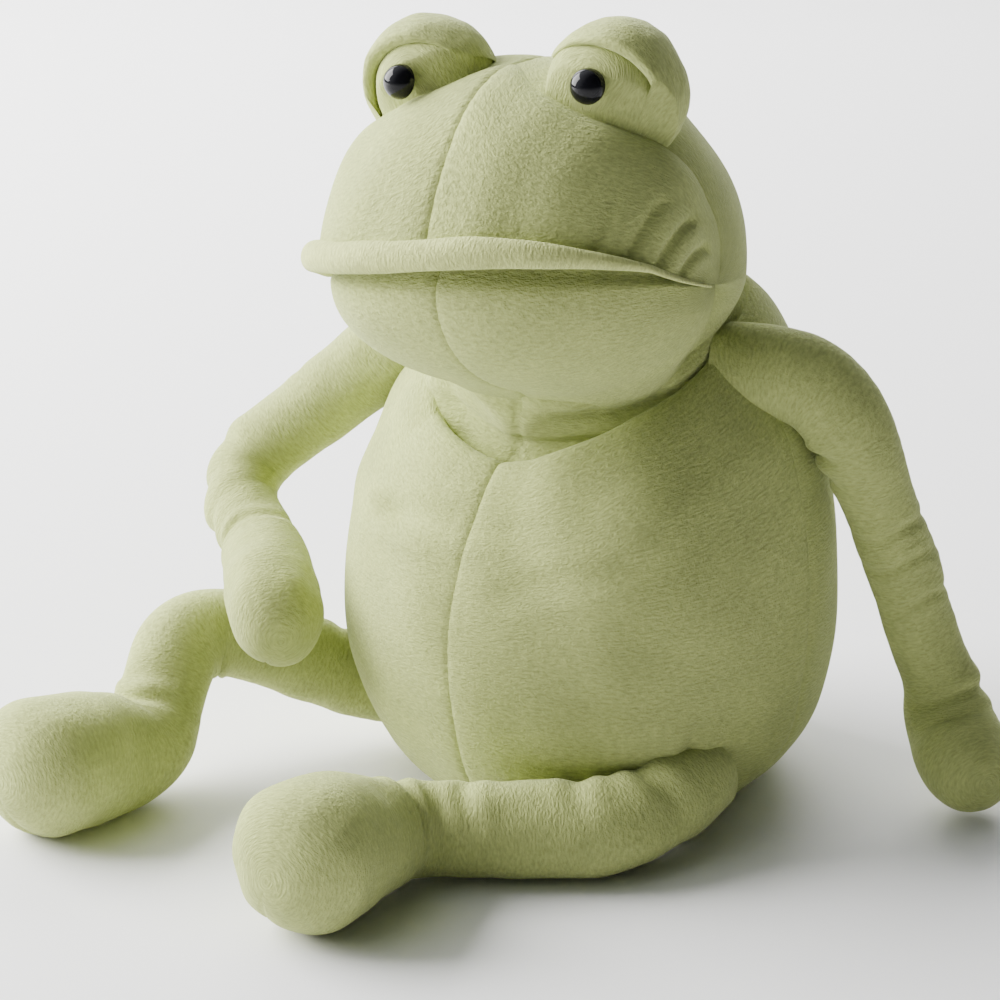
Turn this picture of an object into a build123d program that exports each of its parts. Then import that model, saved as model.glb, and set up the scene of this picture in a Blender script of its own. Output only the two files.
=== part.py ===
"""Seated frog hand puppet: plush cloth panels over loose filling, limp arms and legs.

Frame: millimetres, +Z up, origin at the centre of the flat seat panel on the floor.
The frog faces -Y; its left side is +X.
"""
import os
from math import cos, radians, sin
from build123d import *

os.makedirs("parts", exist_ok=True)

# ---- driving dimensions (mm) ---------------------------------------------------------
CLOTH = 1.6             # plush cloth, pile included
EASE = 0.2              # ease between a cloth skin and its filling
SEAT_RADIUS = 50.0      # flat round seat panel
TORSO_TOP = 152.0
TORSO_OUTLINE = [(50, 0), (60.5, 5), (68, 15), (75, 30), (79.5, 55), (77.8, 82), (71.5, 107),
                 (61, 129), (44, 152)]     # radius and height, floor to collar
COLLAR_SLOPE = 18.43    # degrees the collar leans forward
COLLAR_Y, COLLAR_Z = 5.0, 137.67   # centre of the collar
OPENING_WIDE, OPENING_HIGH, OPENING_Z = 72.0, 56.0, 43.0   # hand opening, low on the back
HEM = 5.0               # width of the cloth binding round the opening
HAND_RADIUS = 30.0      # hand room in the torso
HAND_FLOOR = 14.0
NECK_RADIUS, NECK_HIGH, NECK_PASSAGE = 30.0, 9.0, 24.0
HEAD_GAP = 7.6          # limp cloth left between neck and head so the head can nod
HEAD_RADIUS = 62.0      # dome above the mouth
CHIN_DEEP = 42.5        # depth of the jaw bowl under the mouth
HEAD_AT = (0.0, -33.0, 175.0)      # centre of the mouth plane
HEAD_PITCH, HEAD_ROLL, HEAD_YAW = -16.0, -4.0, 5.0
BROW_ANGLE = 57.0       # slope of the seam that closes the muzzle behind the brow
MOUND_RADIUS, HOOD_CLOTH = 19.0, 3.0
MOUNDS_AT = {1: (33.0, -24.0, 51.0), -1: (-24.5, -24.0, 50.0)}   # left, right, in head frame
EYE_RADIUS = 5.25
LIP_RADIUS = 4.4
BOARD = 2.0             # stiff mouth boards
JAW_CLEAR = 15.0        # degrees cut from the back of the jaw so it can drop

# limb pieces: centre and radius of the round end nearest the body, then of the far end
LIMBS = {
    "left_upper_arm": (((71.4, 10.7, 133.9), 11.5), ((72.8, 11.0, 133.1), 11.5)),
    "left_forearm": (((87.6, 17.3, 112.0), 11.5), ((104.9, 38.3, 44.1), 12.0)),
    "left_hand": (((117.6, 33.9, 19.4), 15.0), ((125.5, 27.0, 16.2), 15.6)),
    "right_upper_arm": (((-78.5, -3.0, 124.0), 11.5), ((-108.5, -23.2, 94.9), 11.5)),
    "right_forearm": (((-108.5, -39.8, 78.0), 11.5), ((-101.0, -46.3, 73.4), 11.5)),
    "right_hand": (((-79.4, -66.6, 63.8), 15.0), ((-65.5, -80.5, 60.0), 17.0)),
    "left_thigh": (((57.2, -60.7, 15.0), 12.5), ((37.9, -76.2, 14.8), 12.5)),
    "left_shin": (((16.9, -92.4, 14.6), 12.5), ((12.1, -95.6, 14.6), 12.5)),
    "left_foot": (((0.5, -123.4, 17.6), 17.0), ((0.0, -153.0, 22.0), 21.5)),
    "right_thigh": (((-78.5, -45.0, 29.4), 13.0), ((-93.4, -59.1, 37.1), 13.0)),
    "right_shin": (((-103.2, -84.2, 33.9), 12.5), ((-101.5, -97.3, 25.5), 12.5)),
    "right_foot": (((-103.5, -127.4, 17.6), 17.0), ((-108.0, -147.0, 22.0), 21.5)),
}


# ---- helpers -------------------------------------------------------------------------
def save(name, shape):
    solids = shape.solids()
    export_step(solids[0] if len(solids) == 1 else Compound(children=list(solids)),
                "parts/" + name + ".step")


def behind(plane, size=400.0):
    """The side of a plane its normal points away from, as a big block."""
    return plane.location * Pos(0, 0, -size / 2) * Box(size, size, size)


def quarter(face, start):
    return Rot(0, 0, start) * revolve(face, Axis.Z, revolution_arc=90)


# ---- torso: four cloth panels, seat panel, filling, hand sleeve ------------------------
def pear_face(inset):
    """Right half of the torso outline in the XZ plane, taken in by `inset`."""
    points = [Vector(*p) for p in TORSO_OUTLINE]
    moved = []
    for i, point in enumerate(points):
        run = points[min(i + 1, len(points) - 1)] - points[max(i - 1, 0)]
        inward = Vector(-run.Y, run.X).normalized()
        moved.append(point + inward * inset)
    low = Vector(SEAT_RADIUS - inset * 0.5, inset)
    moved[0] = low
    moved[-1] = Vector(moved[-1].X, TORSO_TOP - inset)
    side = Spline(*moved)
    top, foot = moved[-1].Y, low.Y
    face = make_face([side, Line(tuple(moved[-1])[:2], (0, top)), Line((0, top), (0, foot)),
                      Line((0, foot), tuple(low)[:2])])
    return Plane.XZ * face


collar = Plane(Location((0, COLLAR_Y, COLLAR_Z)) * Rot(COLLAR_SLOPE, 0, 0))
under_collar = behind(collar)
opening_box = Pos(0, 75, OPENING_Z) * Box(OPENING_WIDE, 70, OPENING_HIGH)
skin_face = pear_face(0) - pear_face(CLOTH)
skin_face -= Plane.XZ * (Pos(24, 0) * Rectangle(48, 3 * CLOTH))
skin_face -= Plane.XZ * (Pos(20, TORSO_TOP) * Rectangle(60, 3 * CLOTH))
for name, start in (("torso_front_left", -90), ("torso_front_right", 180),
                    ("torso_back_left", 0), ("torso_back_right", 90)):
    panel = quarter(skin_face, start) & under_collar
    if "back" in name:
        panel -= opening_box
    save(name, panel)
save("seat_panel", Pos(0, 0, CLOTH / 2) * Cylinder(48 - 0.1, CLOTH))

sleeve_out = (Pos(0, 0, (HAND_FLOOR + 190) / 2) * Cylinder(HAND_RADIUS, 190 - HAND_FLOOR)
              + Pos(0, 40, OPENING_Z) * Box(OPENING_WIDE - 2, 84, OPENING_HIGH - 1))
sleeve_in = (Pos(0, 0, (HAND_FLOOR + 1 + 190) / 2) * Cylinder(HAND_RADIUS - 1, 189 - HAND_FLOOR)
             + Pos(0, 50, OPENING_Z) * Box(OPENING_WIDE - 4, 110, OPENING_HIGH - 3))
cushion = revolve(pear_face(CLOTH + EASE), Axis.Z) & under_collar
save("hand_sleeve", (sleeve_out - sleeve_in) & cushion)
bag = Pos(0, 0, 7.4) * Cylinder(46, 9)
save("seat_pellet_bag", Pos(0, 0, 7.4) * Cylinder(45.9, 8.8))
save("torso_filling", cushion - sleeve_out - bag)
binding = revolve(pear_face(-1.2) - pear_face(-0.02), Axis.Z)
binding &= Pos(0, 75, OPENING_Z) * (Box(OPENING_WIDE + 2 * HEM, 60, OPENING_HIGH + 2 * HEM)
                                    - Box(OPENING_WIDE, 70, OPENING_HIGH))
save("opening_binding", binding)

# ---- neck ------------------------------------------------------------------------------
neck_at = collar.location * Pos(0, 0, NECK_HIGH / 2 + 0.3)
save("neck_sleeve", neck_at * (Cylinder(NECK_RADIUS, NECK_HIGH)
                               - Cylinder(NECK_RADIUS - 1.2, NECK_HIGH + 1)))
save("neck_filling", neck_at * (Cylinder(NECK_RADIUS - 1.3, NECK_HIGH)
                                - Cylinder(NECK_PASSAGE, NECK_HIGH + 1)))

# ---- head, in its own frame: origin at the middle of the mouth plane, snout toward -Y ----
head = Location(HEAD_AT) * Rot(0, 0, HEAD_YAW) * Rot(0, HEAD_ROLL, 0) * Rot(HEAD_PITCH, 0, 0)
over_neck = head.inverse() * (collar.location * Pos(0, 0, NECK_HIGH + HEAD_GAP + 200)
                              * Box(400, 400, 400))
above_mouth = Pos(0, 0, 200) * Box(400, 400, 400)
below_mouth = Pos(0, 0, -200.3) * Box(400, 400, 400)
back_half = Pos(0, 201, 0) * Box(400, 400, 400)
jaw_zone = Rot(-JAW_CLEAR, 0, 0) * Pos(0, -201, 0) * Box(400, 400, 400)
muzzle_cut = behind(Plane((0, 0, 0), x_dir=(1, 0, 0),
                          z_dir=(0, sin(radians(BROW_ANGLE)), cos(radians(BROW_ANGLE)))))


def dome(inset):
    return Sphere(HEAD_RADIUS - inset) & above_mouth


def bowl(inset):
    wide, deep = HEAD_RADIUS - inset, CHIN_DEEP - inset
    face = Ellipse(wide, deep) & Pos(100, -100) * Rectangle(200, 200)
    return revolve(Plane.XZ * face, Axis.Z)


def half_of(side):
    return Pos(side * 200, 0, 0) * Box(400, 400, 400)


def mound_centre(side):
    return Pos(*MOUNDS_AT[side])


dome_skin = dome(0) - Sphere(HEAD_RADIUS - CLOTH)
back_skin = ((dome_skin - muzzle_cut)
             + ((bowl(0) - bowl(CLOTH)) & back_half & over_neck))
muzzle_skin = dome_skin & muzzle_cut
lip_ring = Pos(0, 0, LIP_RADIUS + 0.4) * Torus(HEAD_RADIUS - 0.6, LIP_RADIUS)
front_half = Pos(0, -200, 0) * Box(400, 400, 400)
lip = lip_ring & front_half
lip_room = lip + ((Pos(0, 0, LIP_RADIUS / 2) * (Cylinder(HEAD_RADIUS + 9, LIP_RADIUS + 0.8)
                                                - Cylinder(HEAD_RADIUS - 5, 20))) & front_half)
for name, side in (("left", 1), ("right", -1)):
    save("muzzle_" + name, head * ((muzzle_skin & half_of(side)) - lip_room))
    plug = mound_centre(side) * Sphere(MOUND_RADIUS)
    save("head_back_" + name, head * ((back_skin & half_of(side)) - lip_room))
    eye_spot = mound_centre(side) * Rot(0, 0, side * 8) * Rot(90, 0, 0) * Pos(0, 0, 17.5)
    eye = (eye_spot * Sphere(EYE_RADIUS)) & (eye_spot * Pos(0, 0, 10) * Box(30, 30, 20))
    stem = eye_spot * Pos(0, 0, -3.5) * Cylinder(1.6, 7)
    washer = eye_spot * Pos(0, 0, -5) * (Cylinder(5, 1.4) - Cylinder(1.7, 2))
    slot = eye_spot * Pos(0, 0, -5) * Cylinder(5.1, 1.5)
    hole = eye_spot * Pos(0, 0, -3.5) * Cylinder(1.65, 7.2)
    seat = eye_spot * Pos(0, 0, 10) * Cylinder(EYE_RADIUS + 0.1, 20)
    mound = plug - Sphere(HEAD_RADIUS + 0.05) - seat - slot - hole
    hood_shell = (mound_centre(side) * (Sphere(MOUND_RADIUS + HOOD_CLOTH)
                                        - Sphere(MOUND_RADIUS + 0.1)))
    hood_half = (mound_centre(side) * Rot(-30, 0, 0) * Pos(0, 100 - 6, 0) * Box(200, 200, 200))
    save(name + "_eye_mound", head * mound)
    save(name + "_eye_hood", head * ((hood_shell & hood_half) - Sphere(HEAD_RADIUS + 0.05)))
    save(name + "_eye", head * (eye + stem))
    save(name + "_eye_washer", head * washer)
save("upper_lip_roll", head * lip)

# stiff boards and the two pockets that work the mouth
palate = (Pos(0, 0, 1.5) * Cylinder(54, BOARD)) & (Pos(0, -150, 0) * Box(300, 300, 30))
save("palate_board", head * palate)
finger_out = Pos(0, 10, 14.5) * Box(72, 92, 22)
finger_in = Pos(0, 12, 14.5) * Box(69.6, 92, 19.6)
passage = head.inverse() * (collar.location * Pos(0, 0, 30) * Cylinder(NECK_PASSAGE, 60))
passage = passage & (Pos(0, 100, 0) * Box(200, 200, 200))
stuffed = ((Sphere(HEAD_RADIUS - CLOTH - EASE) & above_mouth)
           + (bowl(CLOTH + EASE) & back_half & over_neck))
thumb_way = Pos(0, 15.5, -13.5) * Box(44, 35, 20)
room = finger_out + passage + thumb_way
save("finger_pocket", head * (((finger_out - finger_in) - passage - lip_room)
                              & Sphere(HEAD_RADIUS - CLOTH - EASE)))
save("head_filling", head * (stuffed - room - lip_room - (Pos(0, 0, 1.5) * Cylinder(54.1, 2.1))))

# ---- lower jaw -------------------------------------------------------------------------
chin_skin = ((bowl(0) - bowl(CLOTH)) & below_mouth) & jaw_zone
floor_board = (Pos(0, 0, -1.6) * Cylinder(57, BOARD)) & jaw_zone
thumb_out = Pos(0, -24, -13.5) * Box(44, 44, 20)
thumb_in = Pos(0, -22, -13.5) * Box(41.6, 44, 17.6)
for name, side in (("left", 1), ("right", -1)):
    save("chin_" + name, head * (chin_skin & half_of(side)))
save("mouth_floor_board", head * floor_board)
save("thumb_pocket", head * ((thumb_out - thumb_in) & jaw_zone))
jaw_inside = bowl(CLOTH + EASE) & (Pos(0, 0, -202.8) * Box(400, 400, 400)) & jaw_zone
save("jaw_filling", head * (jaw_inside - thumb_out))


# ---- arms and legs: cloth tubes with rounded ends, each over its own filling --------------
def limb_face(length, near, far, inset):
    """Half outline of two round ends joined by their common tangent, along local X."""
    near, far = near - inset, far - inset
    lean = (near - far) / length
    rise = (1 - lean * lean) ** 0.5
    a, b = (near * lean, near * rise), (length + far * lean, far * rise)
    mid_a, mid_b = (1 + lean) / 2, (1 - lean) / 2
    edges = [ThreePointArc((-near, 0), (-near * (1 - mid_a) ** 0.5, near * mid_a ** 0.5), a),
             Line(a, b),
             ThreePointArc(b, (length + far * (1 - mid_b) ** 0.5, far * mid_b ** 0.5),
                           (length + far, 0)),
             Line((length + far, 0), (-near, 0))]
    return make_face(edges)


for name, ((start, near), (end, far)) in LIMBS.items():
    along = Vector(*end) - Vector(*start)
    place = Plane(start, x_dir=along, z_dir=along.cross(Vector(0.3, 0.2, 1))).location
    outer = revolve(limb_face(along.length, near, far, 0), Axis.X)
    hollow = revolve(limb_face(along.length, near, far, CLOTH), Axis.X)
    inner = revolve(limb_face(along.length, near, far, CLOTH + EASE), Axis.X)
    save(name + "_skin", place * (outer - hollow))
    save(name + "_filling", place * inner)
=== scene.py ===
import math
import bpy
import numpy as np
from mathutils import Matrix, Vector


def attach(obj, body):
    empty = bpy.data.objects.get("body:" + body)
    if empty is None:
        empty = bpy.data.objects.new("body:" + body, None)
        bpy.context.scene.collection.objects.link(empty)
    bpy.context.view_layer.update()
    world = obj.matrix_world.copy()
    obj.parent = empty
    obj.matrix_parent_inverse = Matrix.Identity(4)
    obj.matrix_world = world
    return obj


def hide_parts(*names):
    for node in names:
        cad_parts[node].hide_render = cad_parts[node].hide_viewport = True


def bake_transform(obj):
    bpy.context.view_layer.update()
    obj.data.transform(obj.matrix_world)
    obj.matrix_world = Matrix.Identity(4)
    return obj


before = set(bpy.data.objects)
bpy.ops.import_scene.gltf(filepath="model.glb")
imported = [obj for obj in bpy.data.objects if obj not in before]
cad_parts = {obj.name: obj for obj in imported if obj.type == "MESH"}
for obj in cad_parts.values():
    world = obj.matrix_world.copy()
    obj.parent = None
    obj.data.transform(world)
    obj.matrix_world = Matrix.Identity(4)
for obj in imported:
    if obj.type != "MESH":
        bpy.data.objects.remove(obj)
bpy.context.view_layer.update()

# ---- Camera and studio --------------------------------------------------------------
# A long lens looks slightly down at the seated puppet from its front left. The room is
# a white sweep: a pale floor that curves up behind, with one big soft window-like key.
MM = 0.001
target = Vector((-0.0408, 0.0065, 0.0791))
toward_camera = Vector((0.5390, -0.7698, 0.3420)).normalized()
camera_data = bpy.data.cameras.new("camera")
camera_data.lens, camera_data.sensor_width = 109.1, 36.0
camera_data.clip_start = 0.05
camera = bpy.data.objects.new("camera", camera_data)
bpy.context.collection.objects.link(camera)
camera.location = target + toward_camera * 1.0
camera.rotation_euler = (-toward_camera).to_track_quat("-Z", "Y").to_euler()
bpy.context.scene.camera = camera


def area_light(name, place, size, power, tone):
    data = bpy.data.lights.new(name, "AREA")
    data.shape, data.size, data.size_y = "RECTANGLE", size[0], size[1]
    data.energy, data.color = power, tone
    light = bpy.data.objects.new(name, data)
    bpy.context.collection.objects.link(light)
    light.location = place
    light.rotation_euler = (Vector((0, 0, 0.12)) - Vector(place)).to_track_quat(
        "-Z", "Y").to_euler()
    return light


area_light("key", (-1.45, -0.42, 0.90), (1.5, 1.4), 142.0, (1.0, 0.99, 0.97))
area_light("back_window", (-1.0, 1.2, 0.9), (1.6, 1.2), 36.0, (1.0, 1.0, 1.0))
world = bpy.data.worlds.new("room")
bpy.context.scene.world = world
world.use_nodes = True
sky = world.node_tree
sky_place = sky.nodes.new("ShaderNodeTexCoord")
sky_side = sky.nodes.new("ShaderNodeVectorMath")
sky_side.operation = "DOT_PRODUCT"
sky_side.inputs[1].default_value = (-0.95, 0.05, 0.30)     # the bright side of the room
sky_range = sky.nodes.new("ShaderNodeMapRange")
for socket_name, number in (("From Min", 0.02), ("From Max", 0.90), ("To Min", 0.04),
                            ("To Max", 1.95)):
    sky_range.inputs[socket_name].default_value = number
sky.links.new(sky_place.outputs["Generated"], sky_side.inputs[0])
sky.links.new(sky_side.outputs["Value"], sky_range.inputs["Value"])
sky.links.new(sky_range.outputs["Result"], sky.nodes["Background"].inputs["Strength"])
sky.nodes["Background"].inputs["Color"].default_value = (0.95, 0.97, 1.0, 1)

floor_mesh = bpy.data.meshes.new("floor")
sweep = [(-9.0, 0.0), (1.2, 0.0)]
sweep += [(1.2 + 0.6 * math.sin(a), 0.6 - 0.6 * math.cos(a)) for a in
          np.linspace(0.1, math.pi / 2, 12)] + [(1.8, 3.0)]
toward_back = Vector((-0.573, 0.819, 0.0))
across = Vector((0.819, 0.573, 0.0))
verts = [tuple(toward_back * a + across * s + Vector((0, 0, b)))
         for a, b in sweep for s in (-9.0, 9.0)]
floor_mesh.from_pydata(verts, [], [(2 * i, 2 * i + 1, 2 * i + 3, 2 * i + 2)
                                   for i in range(len(sweep) - 1)])
floor_mesh.polygons.foreach_set("use_smooth", [True] * len(floor_mesh.polygons))
floor = bpy.data.objects.new("floor", floor_mesh)
bpy.context.collection.objects.link(floor)
floor_material = bpy.data.materials.new("paper_sweep")
floor_material.use_nodes = True
floor_shader = floor_material.node_tree.nodes["Principled BSDF"]
floor_shader.inputs["Base Color"].default_value = (0.90, 0.90, 0.905, 1)
floor_shader.inputs["Roughness"].default_value = 0.7
floor_mesh.materials.append(floor_material)


# ---- Plush cloth: the material every green piece is sewn from ---------------------------
# Short brushed polyester pile on a knitted back. The pile lies in fine rows, catches
# light at grazing angles, and shows lighter and darker strokes where it was brushed.
def pile_group():
    group = bpy.data.node_groups.new("plush_pile", "ShaderNodeTree")
    face = group.interface
    for name, kind, value in (("Colour", "NodeSocketColor", (0.5, 0.5, 0.2, 1)),
                              ("Depth", "NodeSocketFloat", 1.0)):
        socket = face.new_socket(name=name, in_out="INPUT", socket_type=kind)
        socket.default_value = value
    for name, kind in (("Colour", "NodeSocketColor"), ("Height", "NodeSocketFloat"),
                       ("Roughness", "NodeSocketFloat")):
        face.new_socket(name=name, in_out="OUTPUT", socket_type=kind)
    nodes, links = group.nodes, group.links

    def add(kind, **values):
        node = nodes.new(kind)
        for key, value in values.items():
            if hasattr(node, key):
                setattr(node, key, value)
            else:
                node.inputs[key.replace("_", " ")].default_value = value
        return node

    def noise(scale, detail, rough=0.55):
        mapping = add("ShaderNodeMapping")
        mapping.inputs["Scale"].default_value = scale
        links.new(uv.outputs["UV"], mapping.inputs["Vector"])
        node = add("ShaderNodeTexNoise", Scale=1.0, Detail=detail, Roughness=rough)
        links.new(mapping.outputs["Vector"], node.inputs["Vector"])
        return node.outputs["Fac"]

    def maths(kind, a, b):
        node = add("ShaderNodeMath", operation=kind)
        for socket, value in zip(node.inputs, (a, b)):
            if isinstance(value, (int, float)):
                socket.default_value = value
            else:
                links.new(value, socket)
        return node.outputs[0]

    def ramp(value, low, high, out_low, out_high):
        node = add("ShaderNodeMapRange")
        for name, number in (("From Min", low), ("From Max", high), ("To Min", out_low),
                             ("To Max", out_high)):
            node.inputs[name].default_value = number
        links.new(value, node.inputs["Value"])
        return node.outputs["Result"]

    uv = add("ShaderNodeUVMap")
    uv.uv_map = "cloth"
    ends = add("NodeGroupInput")
    rows = noise((420, 1150, 1), 2.0)           # tufts lying in rows
    tufts = noise((1100, 1500, 1), 1.0)
    brushed = noise((45, 70, 1), 4.0, 0.6)      # strokes left by a hand
    patches = noise((14, 18, 1), 2.0)
    height = maths("ADD", maths("MULTIPLY", rows, 0.65), maths("MULTIPLY", tufts, 0.35))
    height = maths("MULTIPLY", height, ends.outputs["Depth"])
    shade = maths("MULTIPLY", ramp(rows, 0.32, 0.68, 0.80, 1.13),
                  ramp(brushed, 0.3, 0.7, 0.90, 1.08))
    shade = maths("MULTIPLY", shade, ramp(patches, 0.3, 0.7, 0.96, 1.03))
    scale = add("ShaderNodeVectorMath", operation="SCALE")
    links.new(ends.outputs["Colour"], scale.inputs[0])
    links.new(shade, scale.inputs["Scale"])
    out = add("NodeGroupOutput")
    links.new(scale.outputs["Vector"], out.inputs["Colour"])
    links.new(height, out.inputs["Height"])
    links.new(ramp(brushed, 0.3, 0.7, 0.82, 0.98), out.inputs["Roughness"])
    return group


PILE = pile_group()


def cloth_material(name, colour, depth=1.0, sheen=0.32, tint=(0.86, 0.93, 0.56, 1), lift=0.0012):
    material = bpy.data.materials.new(name)
    material.use_nodes = True
    tree = material.node_tree
    shader = tree.nodes["Principled BSDF"]
    pile = tree.nodes.new("ShaderNodeGroup")
    pile.node_tree = PILE
    pile.inputs["Colour"].default_value = colour
    pile.inputs["Depth"].default_value = depth
    bump = tree.nodes.new("ShaderNodeBump")
    bump.inputs["Strength"].default_value = 0.6
    bump.inputs["Distance"].default_value = lift
    tree.links.new(pile.outputs["Height"], bump.inputs["Height"])
    tree.links.new(bump.outputs["Normal"], shader.inputs["Normal"])
    tree.links.new(pile.outputs["Colour"], shader.inputs["Base Color"])
    tree.links.new(pile.outputs["Roughness"], shader.inputs["Roughness"])
    shader.inputs["Sheen Weight"].default_value = sheen
    shader.inputs["Sheen Roughness"].default_value = 0.45
    shader.inputs["Sheen Tint"].default_value = tint
    shader.inputs["Specular IOR Level"].default_value = 0.15
    return material


GREEN = cloth_material("green_plush", (0.395, 0.44, 0.155, 1))
# The lip's cloth is the plush green painted lighter: a painted highlight for the light that falls
# on the lip.
LIP_PAINTED_LIGHT = cloth_material("lip_plush", (0.50, 0.545, 0.20, 1))
MOUTH_GREEN = cloth_material("mouth_cloth", (0.10, 0.13, 0.045, 1), 0.5, 0.2)
LINING = cloth_material("lining_cloth", (0.30, 0.33, 0.16, 1), 0.5, 0.15)


def smooth_curve(points, count):
    """`count` evenly spaced points on a soft curve through `points` (Catmull-Rom)."""
    p = np.asarray(points, float)
    ends = np.vstack([2 * p[0] - p[1], p, 2 * p[-1] - p[-2]])
    out = []
    for i in range(len(p) - 1):
        a, b, c, d = ends[i:i + 4]
        t = np.linspace(0, 1, 60, endpoint=i == len(p) - 2)[:, None]
        out.append(0.5 * (2 * b + (c - a) * t + (2 * a - 5 * b + 4 * c - d) * t ** 2
                          + (3 * b - a - 3 * c + d) * t ** 3))
    dense = np.vstack(out)
    step = np.r_[0, np.cumsum(np.linalg.norm(np.diff(dense, axis=0), axis=1))]
    at = np.linspace(0, step[-1], count)
    return np.stack([np.interp(at, step, dense[:, k]) for k in range(p.shape[1])], axis=1)


def wobble(points, size, seed):
    """Soft bumps about `size` across, from -1 to 1, over points of shape (..., 3)."""
    draw = np.random.default_rng(seed)
    waves = draw.normal(size=(14, 3))
    waves *= (2 * math.pi / size) * draw.uniform(0.6, 1.2, (14, 1)) / np.linalg.norm(
        waves, axis=1, keepdims=True)
    phase = draw.uniform(0, 2 * math.pi, 14)
    return np.sin(points @ waves.T + phase).sum(axis=-1) / 5.0


def smoothstep(low, high, x):
    t = np.clip((x - low) / (high - low), 0, 1)
    return t * t * (3 - 2 * t)


def skin(name, grid, material, nodes, keep=None, centre=None, outward=1):
    """A sewn piece from a grid of points in metres; `keep` says which faces stay."""
    rows, cols = grid.shape[:2]
    faces_out = np.cross(grid[1:, :-1] - grid[:-1, :-1], grid[:-1, 1:] - grid[:-1, :-1])
    away = grid[:-1, :-1] - (grid.reshape(-1, 3).mean(axis=0) if centre is None else centre)
    if outward * np.sum(faces_out * away) > 0:
        grid = grid[:, ::-1]
        keep = None if keep is None else keep[:, ::-1]
    along = np.r_[0, np.cumsum(np.linalg.norm(np.diff(grid, axis=0), axis=2).mean(axis=1))]
    side = np.linalg.norm(np.diff(grid, axis=1), axis=2)
    side = np.concatenate([np.zeros((rows, 1)), np.cumsum(side, axis=1)], axis=1)
    side -= side[:, -1:] / 2
    uv = np.stack([side, np.repeat(along[:, None], cols, axis=1)], axis=2).reshape(-1, 2)
    index = np.arange(rows * cols).reshape(rows, cols)
    quads = np.stack([index[:-1, :-1], index[:-1, 1:], index[1:, 1:], index[1:, :-1]], axis=2)
    quads = quads[keep] if keep is not None else quads.reshape(-1, 4)
    points = np.round(grid.reshape(-1, 3), 7)
    merged, inverse = np.unique(points, axis=0, return_inverse=True)
    inverse = inverse.reshape(-1)
    faces, corners = [], []
    for quad in quads.tolist():
        face, used = [], []
        for corner in quad:
            vertex = int(inverse[corner])
            if vertex not in face:
                face.append(vertex)
                used.append(corner)
        if len(face) > 2:
            faces.append(face)
            corners.extend(used)
    used_points = sorted({v for face in faces for v in face})
    renumber = {old: new for new, old in enumerate(used_points)}
    mesh = bpy.data.meshes.new(name)
    mesh.from_pydata(merged[used_points].tolist(), [],
                     [[renumber[v] for v in face] for face in faces])
    layer = mesh.uv_layers.new(name="cloth")
    layer.data.foreach_set("uv", uv[corners].reshape(-1))
    mesh.polygons.foreach_set("use_smooth", [True] * len(mesh.polygons))
    mesh.materials.append(material)
    mesh.update()
    obj = bpy.data.objects.new(name, mesh)
    bpy.context.collection.objects.link(obj)
    if nodes:
        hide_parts(*nodes)
    return obj


def seam_dip(distance, run, deep=1.0, seed=3):
    """How far a sewn edge is drawn in (mm), with small puckers along it."""
    pucker = np.sin(run / 0.95 + 1.3 * np.sin(run / 3.1 + seed))
    return deep * (-np.exp(-(distance / 0.85) ** 1.3) - 0.55 * np.exp(-(distance / 5.0) ** 1.5)
                   + 0.16 * pucker * np.exp(-(distance / 3.0)))


# ---- Torso: a pear of loose filling in four cloth panels --------------------------------
# Two front and two back panels are sewn edge to edge and drawn in at each seam. The
# chest has collapsed, so the top rolls over into a gully round the neck.
def rim_height(theta):
    """The top of the torso: a V at the chest, rising to the shoulders and nape."""
    return np.interp(np.degrees(theta), [-180, -130, -90, -65, -40, -12, 0, 12, 40, 65, 90,
                                         130, 180],
                     [165, 162, 151, 134, 124, 119, 118, 120.5, 130, 140, 153, 162, 165])


TORSO_PROFILE = [(49, 0.4), (54, 2.2), (61, 6.2), (68, 15), (75.2, 30), (79.6, 55), (78.4, 82),
                 (72.6, 106), (66.5, 119), (61.5, 128), (57, 133), (52.5, 135.8), (48.8, 134),
                 (46.5, 127), (45, 118), (44, 108)]


def torso_points(theta, rows=230):
    """Rows up the torso and over its rolled top, for each angle from the front."""
    line = smooth_curve(TORSO_PROFILE, rows)
    r, z = line[:, :1], line[:, 1:]
    th = theta[None, :]
    rise = smoothstep(50, 130, z)
    z_here = z + rise * (rim_height(th) - 136.0)
    flat_back = 1 - 0.10 * smoothstep(0.2, 1.0, -np.cos(th)) * smoothstep(8, 40, z)
    closing = smoothstep(20, 90, np.abs(np.degrees(th)))
    r_here = r * flat_back * (1 - 0.07 * closing * smoothstep(110, 136, z))
    p = np.stack([r_here * np.sin(th), -r_here * np.cos(th), z_here], axis=2)
    soft = wobble(p, 62.0, 11) * 1.5 + wobble(p, 26.0, 12) * 0.45
    edge = np.full_like(z_here, 1e3)
    for seam in (-180, -90, 0, 90, 180):
        edge = np.minimum(edge, np.abs(th - math.radians(seam)) * np.maximum(r_here, 20))
    arc = np.r_[0, np.cumsum(np.linalg.norm(np.diff(line, axis=0), axis=1))][:, None]
    dip = seam_dip(edge, arc + 0 * th, 0.42)
    push = (soft + dip) * smoothstep(0, 6, z)
    push += chest_folds(p, th, z)
    tangent = np.gradient(line, axis=0)
    normal = np.stack([tangent[:, 1], -tangent[:, 0]], axis=1)
    normal /= np.linalg.norm(normal, axis=1, keepdims=True)
    out = p + np.stack([push * normal[:, :1] * np.sin(th), -push * normal[:, :1] * np.cos(th),
                        push * normal[:, 1:]], axis=2)
    out[..., 2] = np.maximum(out[..., 2], 0.3)
    return out * MM


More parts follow.
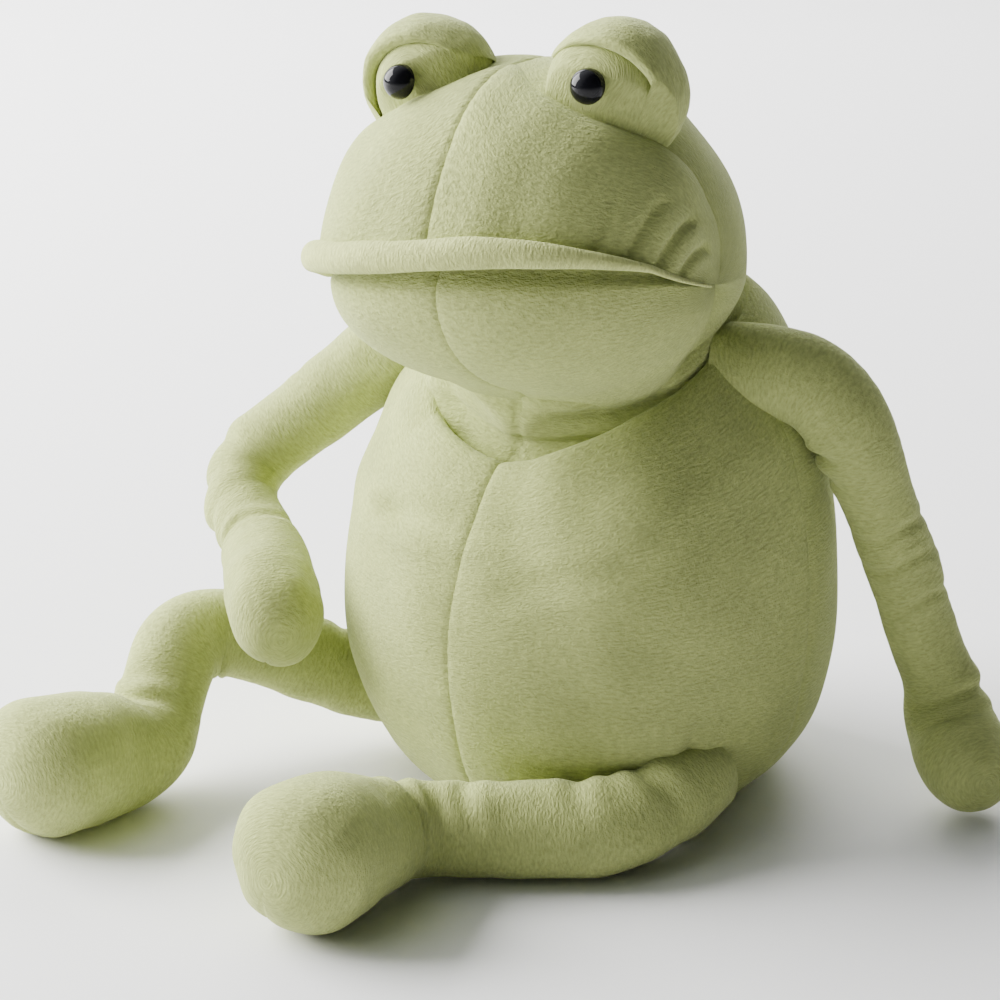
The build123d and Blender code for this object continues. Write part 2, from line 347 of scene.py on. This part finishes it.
def groove(p, a, b, wide, deep):
    """A crease along the line a-b, with a soft raised lip each side of it (mm)."""
    a, b = np.array(a, float), np.array(b, float)
    t = np.clip(((p - a) @ (b - a)) / ((b - a) @ (b - a)), 0, 1)
    d = np.linalg.norm(p - (a + t[..., None] * (b - a)), axis=-1)
    fade = np.sin(np.pi * np.clip(t * 0.96 + 0.02, 0, 1)) ** 0.6
    return fade * deep * (-np.exp(-(d / wide) ** 2)
                          + 0.45 * np.exp(-((d - 2.1 * wide) / wide) ** 2))


def chest_folds(p, th, z):
    folds = groove(p, (-50, -62, 100), (-8, -66, 96), 3.5, 2.4)
    folds += groove(p, (58, -50, 96), (14, -74, 84), 3.5, 1.0)
    folds += groove(p, (-66, -22, 96), (-38, -62, 92), 3.0, 1.8)
    folds += groove(p, (33, -66, 8), (37, -71, 24), 1.1, 1.8)
    folds += groove(p, (62, -44, 24), (66, -40, 44), 3.0, 1.2)
    return folds


for panel_name, start in (("torso_front_left", 0), ("torso_front_right", -1),
                          ("torso_back_left", 1), ("torso_back_right", -2)):
    angles = np.linspace(start * math.pi / 2, (start + 1) * math.pi / 2, 110)
    grid = torso_points(angles)
    middle = (grid[:-1, :-1] + grid[1:, 1:]) / 2
    hole = ((middle[..., 0] / 0.0352) ** 2 + ((middle[..., 2] - 0.043) / 0.0270) ** 2 < 1) & (
        middle[..., 1] > 0)
    nodes = [panel_name] + (["torso_filling", "seat_pellet_bag"] if start == 0 else [])
    panel = skin(panel_name + "_cloth", grid, GREEN, nodes, keep=~hole)
    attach(panel, "torso")

disc = np.linspace(0, 1, 24)[:, None, None] * np.stack(
    [49.2 * np.sin(np.linspace(-math.pi, math.pi, 121)),
     -49.2 * np.cos(np.linspace(-math.pi, math.pi, 121))], axis=1)[None] * MM
seat_grid = np.concatenate([disc, np.full(disc.shape[:2] + (1,), 0.0004)], axis=2)
seat = skin("seat_cloth", seat_grid, GREEN, ["seat_panel"])
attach(seat, "torso")


# ---- Back opening: the hand goes in here -------------------------------------------------
# A bound oval slit low on the back leads into a plain lining sleeve that runs up the
# torso to the neck. The binding is a doubled strip of the same plush, stitched all round.
def tube(center, radii, turns=64, start=(0, 0, 1), shape=None):
    """Rings of points (mm) round a centre line; shape(ring, angle) adds to the radius."""
    c = np.asarray(center, float)
    t = np.gradient(c, axis=0)
    t /= np.linalg.norm(t, axis=1, keepdims=True)
    side = np.cross(t[0], np.asarray(start, float))
    side /= np.linalg.norm(side)
    angle = np.linspace(0, 2 * math.pi, turns)
    radii = np.asarray(radii, float)
    if radii.ndim == 1:
        radii = np.stack([radii, radii], axis=1)
    rings = []
    for i in range(len(c)):
        side = side - t[i] * (side @ t[i])
        side /= np.linalg.norm(side)
        up = np.cross(side, t[i])
        add = 0 if shape is None else shape(i, angle)
        rings.append(c[i] + np.outer((radii[i, 0] + add) * np.cos(angle), side)
                     + np.outer((radii[i, 1] + add) * np.sin(angle), up))
    return np.array(rings)


hem_angle = np.linspace(0, 2 * math.pi, 181)
hem_x, hem_z = 36.5 * np.cos(hem_angle), 43 + 28.5 * np.sin(hem_angle)
profile_line = smooth_curve(TORSO_PROFILE, 400)
wide_here = np.interp(hem_z, profile_line[:200, 1], profile_line[:200, 0]) * 0.905
hem_line = np.stack([hem_x, np.sqrt(wide_here ** 2 - hem_x ** 2) + 0.2, hem_z], axis=1)
stitch = np.sin(np.linspace(0, 2 * math.pi * 46, 181))
hem_grid = tube(hem_line, np.stack([2.6 + 0.18 * stitch, 3.6 + 0.1 * stitch], axis=1), 28,
                (0, 1, 0)) * MM
hem_grid[-1] = hem_grid[0]
hem = skin("opening_hem", hem_grid, GREEN, ["opening_binding"])
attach(hem, "torso")

sleeve_line = smooth_curve([(0, 68, 43), (0, 56, 43), (0, 34, 45), (0, 12, 60), (0, 2, 88),
                            (0, 0, 114), (0, 0, 128)], 90)
step = np.linspace(0, 1, 90)
sleeve_size = np.stack([36 - 8 * smoothstep(0, 0.5, step), 27.5 + 0.5 * step], axis=1)
ripple = wobble(np.stack([step * 120, step * 0, step * 0], axis=1), 30, 5)
sleeve_grid = tube(sleeve_line, sleeve_size + ripple[:, None] * 0.8, 72, (0, 0, 1),
                   lambda i, a: 0.9 * np.sin(5 * a + 0.08 * i)) * MM
sleeve = skin("hand_lining", sleeve_grid, LINING, ["hand_sleeve"])
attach(sleeve, "torso")

# ---- Neck: soft cloth that sinks into the chest ------------------------------------------
# A wide tube of plush joins the torso to the head. It is limp, so it has slumped into
# rings of soft folds. It is cut into a lower and an upper length.
COLLAR_UP = np.array([0, -math.sin(math.radians(18.43)), math.cos(math.radians(18.43))])
collar_middle = np.array([0, 5.0, 137.67])
neck_grid_line = smooth_curve([collar_middle - COLLAR_UP * 34, collar_middle - COLLAR_UP * 12,
                               collar_middle + COLLAR_UP * 4, (0, -3, 157), (0, -8, 172)], 120)
neck_run = np.linspace(0, 1, 120)
neck_size = np.interp(neck_run, [0, 0.25, 0.5, 0.62, 0.8, 1], [46, 50, 50.5, 49, 44, 36])
folds_at = [(0.34, 1.7, 0.3), (0.52, 2.2, 1.9), (0.68, 1.6, 3.4)]


def neck_shape(i, a):
    out = wobble(np.stack([40 * np.cos(a), 40 * np.sin(a), 0 * a + i * 0.8], axis=1), 30, 21) * 1.2
    for at, deep, phase in folds_at:
        out -= deep * np.exp(-((neck_run[i] - at - 0.035 * np.sin(2 * a + phase)) / 0.035) ** 2)
    from_front = np.angle(np.exp(1j * (a - 1.5 * math.pi)))
    top = 0.30 + 0.20 * smoothstep(0.35, 0.9, np.abs(from_front))
    slump = smoothstep(0.0, 0.12, neck_run[i]) * (1 - smoothstep(0, 0.16, neck_run[i] - top))
    out += 10.0 * slump * np.exp(-(from_front / 1.9) ** 4)
    from_seam = np.abs(from_front) * neck_size[i]
    return out + seam_dip(from_seam, 100 * neck_run[i] + 0 * a, 1.3, 17)


neck_grid = tube(neck_grid_line, neck_size, 180, (0, 1, 0), neck_shape)
neck_out = neck_grid - neck_grid_line[:, None]
neck_out /= np.linalg.norm(neck_out, axis=2, keepdims=True)
neck_push = sum(groove(neck_grid, *fold) for fold in (
    ((47, -22, 140), (4, -46, 124), 3.8, 3.4), ((50, -8, 157), (24, -40, 139), 3.6, 2.8),
    ((-40, -28, 136), (-8, -46, 124), 3.2, 2.4), ((56, 6, 146), (44, -26, 132), 3.0, 1.8)))
neck_grid = (neck_grid + neck_out * neck_push[..., None]) * MM
for piece_name, rows, nodes, pair, ends in (
        ("neck_lower_cloth", slice(0, 66), ["neck_sleeve", "neck_filling"], ("torso", "neck"),
         (collar_middle - COLLAR_UP * 10, collar_middle + COLLAR_UP * 3)),
        ("neck_upper_cloth", slice(65, 120), [], ("neck", "head"),
         (collar_middle + COLLAR_UP * 5, collar_middle + COLLAR_UP * 22))):
    piece = skin(piece_name, neck_grid[rows], GREEN, nodes)
    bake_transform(piece)


# ---- Head: muzzle and back panels over a padded dome --------------------------------------
# Two muzzle panels meet at a seam down the middle of the face. A curved seam under the
# eyes joins them to the back of the head, and the fuller muzzle puffs over that seam.
HEAD = (Matrix.Translation((0, -33, 175)) @ Matrix.Rotation(math.radians(5), 4, "Z")
        @ Matrix.Rotation(math.radians(-4), 4, "Y") @ Matrix.Rotation(math.radians(-16), 4, "X"))
HEAD_TURN = np.array(HEAD)[:3, :3]
HEAD_PLACE = np.array(HEAD)[:3, 3]


def in_row(p):
    """Points in the head's own frame (mm) put in the row frame, in metres. The mouth line
    sags most toward the frog's right corner."""
    x, y, z = p[..., 0], p[..., 1], p[..., 2]
    near = np.exp(-(z / 26.0) ** 2) * (1 - smoothstep(-10, 25, y))
    bow = np.interp(x, [-62, -33, -11, 0, 11, 33, 47, 57, 62],
                    [-5.0, -6.5, -5.5, -4.6, -3.6, -2.2, -1.2, -0.8, -2.5]) * near
    p = np.stack([x, y, z + bow], axis=-1)
    return (p @ HEAD_TURN.T + HEAD_PLACE) * MM


def brow_seam(lat):
    """Angle of the seam behind the muzzle, 0 at the mouth, against latitude from the middle.
    It peaks on the brow, dips under each eye, and climbs behind the cheek to the corner."""
    away = np.abs(lat)
    low_point, brow_rise, cheek_rise, corner_rise = 51.0, 18.0, 30.0, 37.0
    return (low_point + brow_rise * np.exp(-(away / 11.0) ** 1.5)
            + cheek_rise * smoothstep(29, 77, away)
            + corner_rise * np.clip((away - 68.0) / 22.0, 0, 1) ** 1.4)


def head_shell(lat, up, size, power=2.35):
    """Points of a boxy dome; poles at the mouth corners, `up` turning from the snout over."""
    la, u = np.radians(lat), np.radians(up)
    d = np.stack([np.sin(la) + 0 * u, -np.cos(la) * np.cos(u), np.cos(la) * np.sin(u)], axis=-1)
    wide, deep = size
    flat = (np.abs(d[..., 0] / wide) ** power
            + (np.hypot(d[..., 1], d[..., 2]) / deep) ** power) ** (-1 / power)
    return d, flat


def face_panel(side, rows=150, cols=120):
    lat = np.linspace(0, 90, cols)[None, :] * side
    t = np.linspace(0, 1, rows)[:, None]
    mouth_edge, top = 3, brow_seam(lat)
    up = mouth_edge + (top - mouth_edge) * t
    d, r = head_shell(lat, up, (60.8, 62.5), 2.25)
    p = d * r[..., None]
    to_seam = np.radians((top - up)) * r * np.cos(np.radians(lat)) + 0.02 * r
    to_middle = np.radians(np.abs(lat)) * r
    push = seam_dip(to_middle, up * 1.1 + 0 * lat, 0.6, 4)
    puff = 2.6 * (1 - np.exp(-(to_seam / 5.0) ** 1.4)) * smoothstep(90, 60, np.abs(lat))
    push = push + puff + wobble(p, 55, 31) * 1.2 + wobble(p, 20, 32) * 0.35
    if side > 0:
        push += cheek_wrinkles(lat, up)
    return in_row(p + d * push[..., None])


def cheek_wrinkles(lat, up):
    out = np.zeros(np.broadcast(lat, up).shape)
    for at, low, high, deep in ((45, 6, 22, 0.9), (54, 4, 34, 1.5),
                                (63, 5, 46, 1.7), (72, 5, 52, 1.4)):
        mid = smoothstep(low - 8, low + 4, up) * (1 - smoothstep(high - 6, high + 8, up))
        out = out + mid * deep * (-np.exp(-((lat - at - 0.16 * (up - 15)) / 1.6) ** 2)
                                  + 0.3 * np.exp(-((lat - at - 4.0 - 0.16 * (up - 15)) / 2.4) ** 2))
    return out


def back_panel(side, rows=190, cols=120):
    lat = np.linspace(0, 90, cols)[None, :] * side
    t = np.linspace(0, 1, rows)[:, None]
    low, neck_edge = brow_seam(lat), 238
    up = low + (neck_edge - low) * t
    size_up = np.interp(up, [0, 60, 90, 150, 190, 238], [60, 61.5, 63, 63, 61, 50])
    la, u = np.radians(lat), np.radians(up)
    d = np.stack([np.sin(la) + 0 * u, -np.cos(la) * np.cos(u), np.cos(la) * np.sin(u)], axis=-1)
    power = 2.25
    r = (np.abs(d[..., 0] / 61.5) ** power
         + (np.hypot(d[..., 1], d[..., 2]) / size_up) ** power) ** (-1 / power)
    r = r * (1 - 0.16 * smoothstep(176, 232, up) * smoothstep(20, 70, np.abs(lat)))
    p = d * r[..., None]
    to_seam = np.radians(up - low) * r * np.cos(np.radians(lat)) + 0.02 * r
    to_middle = np.radians(np.abs(lat)) * r
    push = seam_dip(to_seam, r * np.radians(lat) * np.ones_like(up), 1.0, 7)
    push = push + seam_dip(to_middle, up * 1.1 + 0 * lat, 1.2, 9) * smoothstep(60, 75, up)
    push += wobble(p, 50, 41) * 1.0
    grid = in_row(p + d * push[..., None])
    run = np.r_[0, np.cumsum(np.linalg.norm(np.diff(grid[:, 40], axis=0), axis=1))]
    meet = np.exp(-run / 0.007)[:, None, None]      # drawn to the muzzle's edge at the seam
    return grid + (face_panel(side)[-1] - grid[0])[None] * meet


for side, word in ((1, "left"), (-1, "right")):
    face = skin("muzzle_%s_cloth" % word, face_panel(side), GREEN,
                ["muzzle_" + word] + (["head_filling"] if side > 0 else []))
    back = skin("head_back_%s_cloth" % word, back_panel(side), GREEN,
                ["head_back_" + word])
    for piece in (face, back):
        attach(piece, "head")


# ---- Upper lip: a stuffed roll sewn along the mouth, its cloth painted lighter as if lit ---
# It is thickest at the frog's right corner, where it flares past the cheek, and tapers
# away toward the left corner. Pile rows run along its lower half.
lip_lat = np.linspace(-87, 84, 220)
lip_up = 3.2 + 1.0 * np.exp(-((lip_lat - 24) / 24) ** 2) - 2.2 * smoothstep(50, 84, lip_lat)
d, r = head_shell(lip_lat, lip_up, (62.5, 64.0))
lip_line = d * (r + 1.2 - 1.5 * smoothstep(50, 84, lip_lat))[:, None]
lip_line[:, 0] -= 3.0 * (1 - smoothstep(-87, -66, lip_lat))
lip_tip = 0.35 + 0.65 * smoothstep(-87, -78, lip_lat)       # narrows to the right-hand tip
lip_tall = 4.6 * (1 - 0.90 * smoothstep(8, 80, lip_lat)) * lip_tip
lip_deep = 3.7 * (1 - 0.82 * smoothstep(14, 84, lip_lat)) * lip_tip
lip_soft = wobble(lip_line, 24, 51)
lip_grid = tube(lip_line, np.stack([lip_deep + 0.2 * lip_soft, lip_tall + 0.25 * lip_soft], axis=1),
                40, (0, 0, 1),
                lambda i, a: (-0.28 * np.exp(-((a - 3.9) / 0.25) ** 2)
                              - 0.20 * np.exp(-((a - 4.4) / 0.2) ** 2)))
lip_grid = np.concatenate([np.repeat(lip_line[None, :1], 40, axis=1), lip_grid,
                           np.repeat(lip_line[None, -1:], 40, axis=1)])
# The lip wears the lighter green, which is a painted highlight.
lip = skin("upper_lip_cloth", in_row(lip_grid), LIP_PAINTED_LIGHT, ["upper_lip_roll"])
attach(lip, "head")


# ---- Lower jaw: a full chin bowl in two panels ----------------------------------------------
# The chin hangs from the mouth corners and is worked by the thumb. A seam runs down its
# middle, and its edge tucks in under the lip.
def chin_panel(side, rows=150, cols=120):
    lat = np.linspace(0, 90, cols)[None, :] * side
    t = np.linspace(0, 1, rows)[:, None]
    tucked_edge, turn = 7.0, 142
    up = tucked_edge - turn * t + 0 * lat
    la, u = np.radians(lat), np.radians(up)
    d = np.stack([np.sin(la) + 0 * u, -np.cos(la) * np.cos(u), np.cos(la) * np.sin(u)], axis=-1)
    power = 2.2
    r = (np.abs(d[..., 0] / 60.5) ** power + np.abs(d[..., 1] / 58.5) ** power
         + np.abs(d[..., 2] / (38.8 + 11.0 * smoothstep(78, 132, -up))) ** power) ** (-1 / power)
    r = r * (1 - 0.16 * smoothstep(88, 132, -up) * smoothstep(20, 70, np.abs(lat)))
    p = d * r[..., None]
    to_middle = np.radians(np.abs(lat)) * r
    push = seam_dip(to_middle, up * 1.1, 0.6, 12) + wobble(p, 48, 61) * 0.9
    push = push - 2.6 * smoothstep(-7, 2, up)
    return in_row(p + d * push[..., None])


for side, word in ((1, "left"), (-1, "right")):
    chin = skin("chin_%s_cloth" % word, chin_panel(side), GREEN,
                ["chin_" + word] + (["jaw_filling"] if side > 0 else []))
    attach(chin, "lower_jaw")


# ---- Inside the mouth: cloth-covered boards ---------------------------------------------------
# Each half of the mouth is a stiff half-round board covered in flat darker cloth, with a
# pocket behind it for the fingers or the thumb.
def mouth_lining(name, height, thick, rise, nodes, body, seed):
    across = np.linspace(-1, 1, 90)[None, :]
    out = np.linspace(0, 1, 60)[:, None]
    x = 57.0 * across
    y = -56.0 * out * np.sqrt(np.clip(1 - across ** 2, 0, 1)) + 1.0
    bulge = (1 - out ** 4) * (1 - across ** 4)
    top = np.stack([x + 0 * out, y, height + thick * bulge * rise
                    + wobble(np.stack([x + 0 * out, y, 0 * y], axis=2), 26, seed) * 0.25 * bulge],
                   axis=2)
    under = top.copy()
    under[..., 2] = height - thick * rise * 0.4 * bulge
    grid = np.concatenate([top, under[::-1]], axis=0)
    piece = skin(name, in_row(grid), MOUTH_GREEN, nodes)
    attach(piece, body)
    return piece


mouth_lining("palate_cloth", 0.6, 1.6, -1, ["palate_board", "finger_pocket"], "head", 71)
mouth_lining("mouth_floor_cloth", -2.6, 1.6, 1, ["mouth_floor_board", "thumb_pocket"],
             "lower_jaw", 72)


# ---- Eyes: stuffed mounds, furry hoods and domed black plastic eyes -----------------------------
# Each mound is a small stuffed ball set behind the muzzle. A thick doubled flap wraps its
# back, top and outer side like a sleepy lid and ends in a soft rolled rim.
MOUND_PLACE = {1: (33.0, -24.0, 51.0), -1: (-24.5, -24.0, 50.0)}


def eye_axes(side):
    look = np.array([0.14 * side, -0.98, 0.05])
    look /= np.linalg.norm(look)
    out = np.array([side, 0, 0.0]) - look * (side * look[0])
    out /= np.linalg.norm(out)
    return look, out, np.cross(look, out) * side


def behind_muzzle(p):
    """Tucks points (mm, head frame) under the muzzle where they lie below its back seam."""
    far = np.linalg.norm(p, axis=-1)
    d = p / far[..., None]
    lat = np.degrees(np.arcsin(np.clip(d[..., 0], -1, 1)))
    up = np.degrees(np.arctan2(d[..., 2], -d[..., 1])) % 360
    flat = (np.abs(d[..., 0] / 60.8) ** 2.25
            + (np.hypot(d[..., 1], d[..., 2]) / 62.5) ** 2.25) ** (-1 / 2.25)
    above = up - brow_seam(lat)
    limit = flat - 1.2 + 40.0 * smoothstep(0, 5, above)
    return d * np.minimum(far, limit)[..., None]


def eye_mound(side):
    look, out, up = eye_axes(side)
    centre = np.array(MOUND_PLACE[side])
    from_axis = np.linspace(0, math.radians(150), 80)[:, None]
    round_it = np.linspace(0, 2 * math.pi, 97)[None, :]
    d = (np.cos(from_axis)[..., None] * look
         + (np.sin(from_axis) * np.cos(round_it))[..., None] * out
         + (np.sin(from_axis) * np.sin(round_it))[..., None] * up)
    r = 18.6 - 1.0 * np.exp(-(from_axis / 0.5) ** 2) + 0 * round_it
    p = centre + d * r[..., None]
    return in_row(behind_muzzle(p + d * (wobble(p, 14, 81 + side) * 0.3)[..., None]))


def eye_hood(side):
    look, out, up = eye_axes(side)
    centre = np.array(MOUND_PLACE[side])
    turn = np.linspace(math.radians(-38), math.radians(152), 130)[None, :]
    degrees = np.degrees(turn)
    reach = np.radians(39 + 0.0030 * np.maximum(0, 85 - degrees) ** 2
                       + 0.0050 * np.maximum(0, degrees - 85) ** 2)
    thick = 3.8 * np.exp(-((degrees - 48) / 62) ** 2)
    outer, inner = 19.2 + thick, 18.3 + 0 * thick
    s = np.linspace(0, 1, 110)[:, None]
    mid, half = (outer + inner) / 2, (outer - inner) / 2
    back = np.clip(s / 0.55, 0, 1)
    roll = np.clip((s - 0.55) / 0.25, 0, 1) * math.pi
    under = np.clip((s - 0.80) / 0.20, 0, 1)
    angle = (math.radians(172) - reach) * (1 - back) + reach
    angle = angle - np.sin(roll) * half / mid + under * math.radians(24)
    r = mid + half * np.cos(roll)
    r = r * (1 + 0.20 * (1 - smoothstep(-25, 40, degrees)) * (1 - s) ** 0.5)
    d = (np.cos(angle)[..., None] * look
         + (np.sin(angle) * np.cos(turn))[..., None] * out
         + (np.sin(angle) * np.sin(turn))[..., None] * up)
    p = centre + d * r[..., None]
    soft = wobble(p, 15, 91 + side) * 0.35 + wobble(p, 6, 93 + side) * 0.12
    return in_row(behind_muzzle(p + d * soft[..., None]))


BLACK = bpy.data.materials.new("eye_black")
BLACK.use_nodes = True
shader = BLACK.node_tree.nodes["Principled BSDF"]
speck = BLACK.node_tree.nodes.new("ShaderNodeTexNoise")
speck.inputs["Scale"].default_value = 240.0
speck_range = BLACK.node_tree.nodes.new("ShaderNodeMapRange")
speck_range.inputs["To Min"].default_value = 0.03
speck_range.inputs["To Max"].default_value = 0.11
BLACK.node_tree.links.new(speck.outputs["Fac"], speck_range.inputs["Value"])
BLACK.node_tree.links.new(speck_range.outputs["Result"], shader.inputs["Roughness"])
shader.inputs["Base Color"].default_value = (0.006, 0.006, 0.008, 1)
shader.inputs["Specular IOR Level"].default_value = 0.20

for side, word in ((1, "left"), (-1, "right")):
    mound = skin(word + "_eye_mound_cloth", eye_mound(side), GREEN,
                 [word + "_eye_mound", word + "_eye_washer"])
    hood = skin(word + "_eye_hood_cloth", eye_hood(side), GREEN,
                [word + "_eye_hood"])
    for piece in (mound, hood):
        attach(piece, "head")
    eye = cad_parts[word + "_eye"]
    eye.data.materials.clear()
    eye.data.materials.append(BLACK)


# ---- Arms and legs: limp stuffed tubes ---------------------------------------------------------
# Each limb is one sewn tube, thinly filled so that it folds where it is bent. A long seam
# runs down the inner side with puckers, and hands and feet are plain mittens closed by a
# seam across the end. Each limb is cut into lengths near its joints.
def limb(prefix, path, sizes, joints, seed, seam_at, creases=(), rows_per_mm=0.9):
    """path: points (mm); sizes: (share, radius, flatness); joints: (name, bodies, joint
    point, reach, nodes, point where this length ends) in order down the limb."""
    length = np.linalg.norm(np.diff(np.asarray(path, float), axis=0), axis=1).sum()
    rows = int(length * rows_per_mm)
    line = smooth_curve(path, rows)
    share = np.linspace(0, 1, rows)
    table = np.asarray(sizes, float)
    radius = smooth_table(share, table[:, 0], table[:, 1])
    flat = smooth_table(share, table[:, 0], table[:, 2])
    cap = table[-1, 1]
    run = (1 - share) * length
    round_end = np.sqrt(np.clip(1 - np.clip(1 - run / cap, 0, 1) ** 2.4, 0, 1))
    radii = np.stack([radius * round_end, radius * flat * round_end], axis=1)

    def shape(i, a):
        near = np.angle(np.exp(1j * (a - seam_at)))
        d = np.abs(near) * radius[i]
        out = seam_dip(d, np.full_like(d, share[i] * length), 1.3, seed)
        spot = np.stack([radius[i] * np.cos(a), radius[i] * np.sin(a),
                         np.full_like(a, share[i] * length)], axis=1)
        out = out + wobble(spot, 30, seed) * 0.7 + wobble(spot, 13, seed + 1) * 0.25
        for at, angle, wide, long, deep in creases:
            off = (share[i] - at) * length + 1.2 * np.sin(3 * a)
            around = np.exp(-(np.angle(np.exp(1j * (a - angle))) / long) ** 2)
            out = out + around * deep * (-np.exp(-(off / wide) ** 2)
                                         + 0.4 * np.exp(-((np.abs(off) - 2.2 * wide) / wide) ** 2))
        return out * min(1.0, round_end[i] * 1.3)

    grid = tube(line, radii, 72, (0.1, 0.2, 1), shape)
    tangent_u = np.gradient(grid, axis=0)
    wrapped = np.concatenate([grid[:, -2:-1], grid, grid[:, 1:2]], axis=1)
    tangent_v = np.gradient(wrapped, axis=1)[:, 1:-1]
    normal = np.cross(tangent_v, tangent_u)
    normal /= np.maximum(np.linalg.norm(normal, axis=2, keepdims=True), 1e-9)
    normal *= np.sign(np.sum(normal * (grid - line[:, None])))

    def nearest(point):
        return int(np.argmin(np.linalg.norm(line - np.asarray(point, float), axis=1)))

    bounds = [0] + [nearest(j[5]) for j in joints[:-1]] + [rows - 1]
    for k, (name, bodies, at, reach, nodes, _) in enumerate(joints):
        cut = slice(bounds[k], bounds[k + 1] + 1)
        piece = skin(prefix + name, grid[cut] * MM, GREEN, nodes,
                     centre=line[cut][:-1, None] * MM)
        soften(piece, grid[cut] * MM, normal[cut])
        if isinstance(bodies, str):
            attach(piece, bodies)
        else:
            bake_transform(piece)


def smooth_table(x, at, value):
    line = np.interp(x, at, value)
    kernel = np.hanning(max(5, len(x) // 14) | 1)
    kernel /= kernel.sum()
    half = len(kernel) // 2
    return np.convolve(np.pad(line, half, mode="edge"), kernel, mode="valid")


def soften(piece, points, normals):
    """Gives a cut piece the whole limb's normals, so that the cuts don't show."""
    flat = np.round(points.reshape(-1, 3), 7)
    unique, index = np.unique(flat, axis=0, return_index=True)
    found = {tuple(p): normals.reshape(-1, 3)[i] for p, i in zip(unique.astype(np.float32).tolist(),
                                                                index)}
    fallback = (0.0, 0.0, 0.0)
    values = [tuple(found.get(tuple(np.float32(c) for c in v.co), fallback))
              for v in piece.data.vertices]
    piece.data.normals_split_custom_set_from_vertices(values)


def both(name, *segments):
    return [name + "_" + segment + kind for segment in segments for kind in ("_skin", "_filling")]


limb("left_arm_", [(44, 4, 140), (58, 8, 141), (73, 11, 138), (85, 14, 126), (91, 22, 102),
                   (99, 32, 68), (106, 40, 40), (112, 38, 25), (121, 31, 17.5), (133, 23, 16.5)],
     [(0, 15, 1), (0.2, 14, 1), (0.32, 12, 1), (0.6, 11.2, 1), (0.74, 11.6, 1), (0.82, 14, 1),
      (0.9, 17, 0.9), (1, 15, 0.9)],
     [("shoulder", ("torso", "left_upper_arm"), (60, 8, 141), 12, both("left", "upper_arm"),
       (73, 11, 138)),
      ("elbow", ("left_upper_arm", "left_forearm"), (84, 13, 126), 14, both("left", "forearm"),
       (99, 32, 68)),
      ("wrist", ("left_forearm", "left_hand"), (108, 40, 32), 13, both("left", "hand"),
       (133, 23, 16.5))],
     101, 2.0, [(0.27, 4.6, 2.2, 1.2, 2.2), (0.33, 4.3, 2.0, 1.0, 1.6), (0.44, 0.5, 1.6, 1.4, 0.9),
                (0.5, 0.2, 1.6, 1.2, 0.9), (0.58, 0.6, 1.6, 1.3, 0.8), (0.78, 1.2, 2.2, 1.6, 1.4)])

limb("right_arm_", [(-44, 4, 142), (-58, 7, 141), (-76, 1, 129), (-98, -13, 108),
                    (-117, -27, 89), (-113, -40, 77), (-98, -50, 71), (-84, -62, 66),
                    (-70, -76, 61), (-57, -89, 57)],
     [(0, 16, 1), (0.2, 15, 1), (0.45, 13, 1), (0.6, 12, 1), (0.7, 12, 1), (0.76, 14, 1),
      (0.87, 18.5, 0.85), (1, 16, 0.85)],
     [("shoulder", ("torso", "right_upper_arm"), (-64, 6, 138), 13, both("right", "upper_arm"),
       (-90, -8, 116)),
      ("elbow", ("right_upper_arm", "right_forearm"), (-119, -30, 86), 13,
       both("right", "forearm"), (-100, -48, 72)),
      ("wrist", ("right_forearm", "right_hand"), (-90, -57, 68), 10, both("right", "hand"),
       (-57, -89, 57))],
     111, 0.6, [(0.52, 1.0, 2.2, 1.3, 1.8), (0.58, 0.8, 2.0, 1.2, 2.0), (0.64, 0.9, 2.0, 1.2, 1.6),
                (0.72, 2.4, 1.8, 1.6, 1.3), (0.36, 0.8, 2.0, 1.0, 1.0)])

limb("left_leg_", [(58, -28, 22), (58, -46, 18), (52, -64, 15.5), (38, -77, 15), (22, -89, 15),
                   (8, -99, 15), (1, -110, 17), (-1, -126, 20), (-1, -144, 23), (0, -168, 24)],
     [(0, 15, 1), (0.2, 14.5, 1), (0.45, 14.5, 1), (0.6, 14.5, 1), (0.68, 17, 1), (0.8, 22, 0.98),
      (0.9, 23, 1), (1, 21, 1)],
     [("hip", ("torso", "left_thigh"), (60, -52, 17), 12, both("left", "thigh"), (46, -71, 15)),
      ("knee", ("left_thigh", "left_shin"), (28, -85, 15), 10, both("left", "shin"),
       (14, -95, 15)),
      ("ankle", ("left_shin", "left_foot"), (1, -107, 17), 10, both("left", "foot"),
       (0, -168, 24))],
     121, 4.7, [(0.16, 1.6, 3.0, 1.2, 1.6), (0.3, 1.2, 3.0, 1.0, 0.9), (0.5, 1.6, 2.5, 1.2, 1.0),
                (0.64, 1.4, 2.2, 1.6, 1.5)])

limb("right_leg_", [(-47, -18, 21), (-64, -33, 24), (-82, -48, 32), (-100, -65, 42),
                    (-106, -80, 41), (-103, -95, 28), (-101, -108, 19), (-104, -124, 19),
                    (-107, -142, 22), (-110, -163, 23)],
     [(0, 14, 1), (0.2, 14, 1), (0.45, 14, 1), (0.6, 14, 1), (0.7, 17, 1), (0.82, 22, 1),
      (0.92, 23, 1), (1, 21, 1)],
     [("hip", ("torso", "right_thigh"), (-68, -36, 25), 12, both("right", "thigh"),
       (-86, -52, 34)),
      ("knee", ("right_thigh", "right_shin"), (-105, -72, 43), 13, both("right", "shin"),
       (-103, -93, 30)),
      ("ankle", ("right_shin", "right_foot"), (-100, -109, 19), 9, both("right", "foot"),
       (-110, -163, 23))],
     131, 4.7, [(0.2, 1.6, 2.5, 1.2, 1.0), (0.44, 4.7, 2.4, 1.2, 2.2), (0.64, 1.4, 2.2, 1.5, 1.6)])
